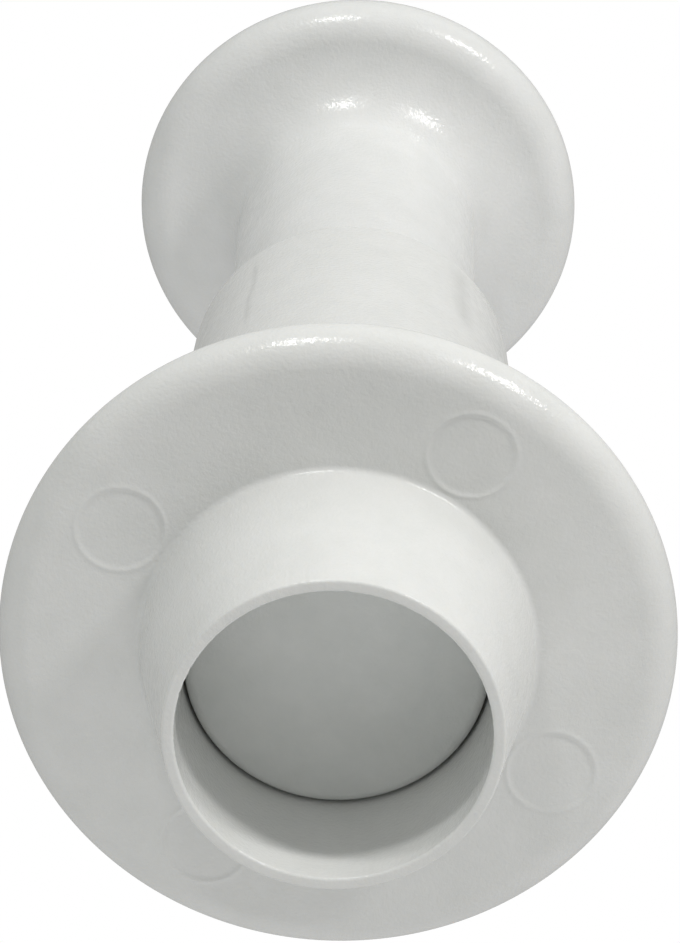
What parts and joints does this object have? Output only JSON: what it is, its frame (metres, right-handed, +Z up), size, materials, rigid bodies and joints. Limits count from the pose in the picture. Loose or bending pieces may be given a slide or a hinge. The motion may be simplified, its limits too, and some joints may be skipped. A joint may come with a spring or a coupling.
{
  "type": "plunger cutter",
  "caption": "Round plunger cutter for dough and sugar paste: a thin-lipped ring on a flange, with a sprung thumb knob that ejects the cut round.",
  "frame": {"origin": "centre of the cutting lip's plane, with the tool standing on its lip", "axes": "+Z up the tool's axis, from the cutting lip to the knob"},
  "size_m": [0.035, 0.035, 0.0733],
  "materials": {
    "white_plastic": "satin moulded plastic with a fine eroded texture",
    "knob_plastic": "satin moulded plastic with a fine eroded texture",
    "plate_plastic": "satin moulded plastic",
    "spring_steel": "drawn spring wire"
  },
  "bodies": {
    "body": {"cutter_body": "white_plastic"},
    "spring": {"return_spring": "spring_steel"},
    "plunger": {"knob": "knob_plastic", "ejector_plate": "plate_plastic"}
  },
  "joints": [
    {"name": "plunger_slide", "type": "slide", "parent": "body", "child": "spring", "axis": [0, 0, -1], "range_m": [0, 0.01], "stiffness_N_per_m": 390, "springref_m": -0.008, "deforming": ["return_spring"]},
    {"name": "plunger_spin", "type": "hinge", "parent": "spring", "child": "plunger", "pos_m": [0, 0, 0.04], "axis": [0, 0, 1], "continuous": true}
  ]
}
